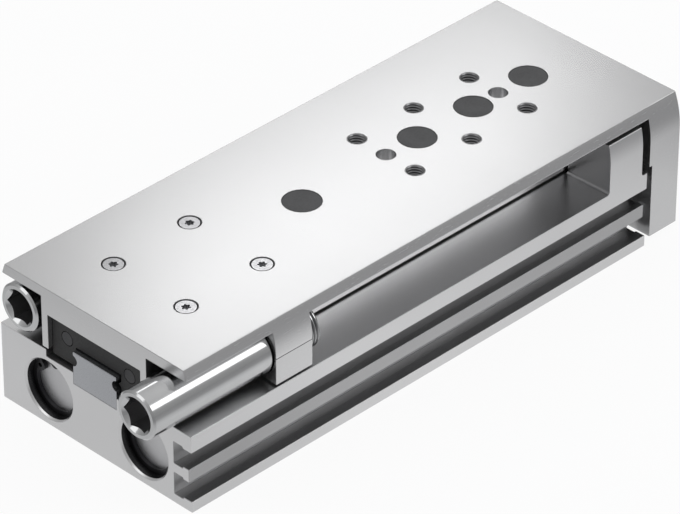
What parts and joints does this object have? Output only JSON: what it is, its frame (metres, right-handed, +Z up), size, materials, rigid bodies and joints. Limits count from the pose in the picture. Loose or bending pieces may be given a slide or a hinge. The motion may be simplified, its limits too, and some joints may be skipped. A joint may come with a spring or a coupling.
{
  "type": "pneumatic slide table",
  "caption": "Pneumatic slide table: slotted aluminium housing with piston bores, ball-guided flat slide with a yoke on the rods, and screwed end stops.",
  "frame": {"origin": "centre of the housing's flat mounting face, at rest with the slide retracted", "axes": "+X along the stroke, towards the yoke, the way the slide moves out; +Z up, out of the table's top; the sensor slots are on the -Y side"},
  "size_m": [0.1805, 0.066, 0.04],
  "materials": {
    "housing_aluminium": "clear anodised, fine extruded grain",
    "slide_aluminium": "clear anodised, satin",
    "guide_steel": "ground",
    "carriage_steel": "ground",
    "ball_steel": "polished",
    "plug_plastic": "moulded dark grey",
    "magnet": "sintered",
    "screw_steel": "bright zinc plated",
    "end_plate_plastic": "moulded black",
    "seal_rubber": "black",
    "cap_aluminium": "turned",
    "spring_steel": "phosphated",
    "wear_plastic": "turned",
    "rod_steel": "hard chromed",
    "piston_aluminium": "turned",
    "stop_steel": "polished",
    "buffer_rubber": "dark elastomer"
  },
  "bodies": {
    "base": {"housing": "housing_aluminium", "housing_port_side": "housing_aluminium", "housing_ledge_left": "housing_aluminium", "housing_ledge_right": "housing_aluminium", "housing_slot_lower": "housing_aluminium", "housing_slot_rib": "housing_aluminium", "housing_slot_upper": "housing_aluminium", "housing_lug_left": "housing_aluminium", "housing_lug_right": "housing_aluminium", "guide_rail": "guide_steel", "rail_screws": "screw_steel", "end_cap_left": "cap_aluminium", "cap_seal_left": "seal_rubber", "front_ring_left": "spring_steel", "rod_guide_left": "cap_aluminium", "guide_seal_left": "seal_rubber", "rod_seal_left": "seal_rubber", "rear_ring_left": "spring_steel", "end_cap_right": "cap_aluminium", "cap_seal_right": "seal_rubber", "front_ring_right": "spring_steel", "rod_guide_right": "cap_aluminium", "guide_seal_right": "seal_rubber", "rod_seal_right": "seal_rubber", "rear_ring_right": "spring_steel"},
    "slide": {"slide_table": "slide_aluminium", "slide_roof": "slide_aluminium", "slide_skirt_left": "slide_aluminium", "slide_skirt_right": "slide_aluminium", "slide_lug_left": "slide_aluminium", "slide_lug_right": "slide_aluminium", "slide_yoke": "slide_aluminium", "carriage_block": "carriage_steel", "carriage_end_plate_front": "end_plate_plastic", "carriage_end_plate_rear": "end_plate_plastic", "carriage_seal_front": "seal_rubber", "carriage_seal_rear": "seal_rubber", "end_plate_screws": "screw_steel", "guide_balls": "ball_steel", "carriage_screws": "screw_steel", "yoke_screws": "screw_steel", "piston_magnet_right": "magnet", "hole_plugs": "plug_plastic", "piston_left": "piston_aluminium", "piston_seal_left": "seal_rubber", "wear_ring_left": "wear_plastic", "piston_rod_left": "rod_steel", "piston_right": "piston_aluminium", "piston_seal_right": "seal_rubber", "wear_ring_right": "wear_plastic", "piston_rod_right": "rod_steel"},
    "advance_buffer": {"advance_stop_buffer": "buffer_rubber"},
    "advance_sleeve": {"advance_stop_sleeve": "stop_steel"},
    "retract_buffer": {"retract_stop_buffer": "buffer_rubber"},
    "retract_sleeve": {"retract_stop_sleeve": "stop_steel"}
  },
  "joints": [
    {"name": "table_stroke", "type": "slide", "parent": "base", "child": "slide", "axis": [1, 0, 0], "range_m": [0, 0.1]},
    {"name": "advance_stop_travel", "type": "slide", "parent": "slide", "child": "advance_buffer", "axis": [1, 0, 0], "range_m": [-0.004, 0]},
    {"name": "advance_stop_turn", "type": "hinge", "parent": "advance_buffer", "child": "advance_sleeve", "pos_m": [-0.079, -0.0257, 0.0298], "axis": [1, 0, 0], "range_deg": [-1440, 0]},
    {"name": "retract_stop_travel", "type": "slide", "parent": "base", "child": "retract_buffer", "axis": [1, 0, 0], "range_m": [-0.01, 0]},
    {"name": "retract_stop_turn", "type": "hinge", "parent": "retract_buffer", "child": "retract_sleeve", "pos_m": [-0.079, 0.0257, 0.0298], "axis": [1, 0, 0], "range_deg": [-3600, 0]}
  ],
  "couplings": [
    {"joint": "advance_stop_turn", "follows": "advance_stop_travel", "rad_per_m": 6283.2},
    {"joint": "retract_stop_turn", "follows": "retract_stop_travel", "rad_per_m": 6283.2}
  ]
}
